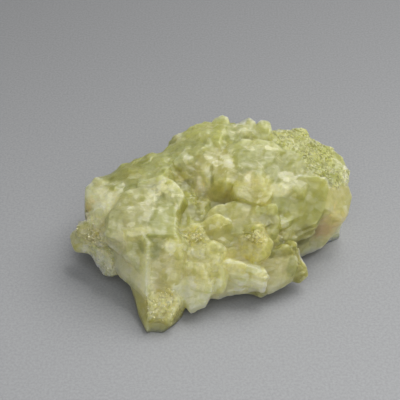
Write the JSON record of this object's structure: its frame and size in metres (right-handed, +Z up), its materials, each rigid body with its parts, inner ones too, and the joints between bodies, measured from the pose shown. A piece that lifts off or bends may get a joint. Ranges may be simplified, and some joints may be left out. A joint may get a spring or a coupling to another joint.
{
  "type": "mineral specimen",
  "caption": "Brazilianite crystal cluster: a rough, cloudy yellow-green stone of many blocky crystals grown together, lying on its broad base.",
  "frame": {"origin": "middle of the footprint, on the surface the stone lies on", "axes": "+Z up, +X along the length, -Y towards the long front slope and the prong"},
  "size_m": [0.041, 0.031, 0.0173],
  "materials": {
    "stone": "cloudy rough crystal, waxy to glassy on the small facets"
  },
  "bodies": {
    "root": {"brazilianite_cluster": "stone"}
  },
  "joints": []
}
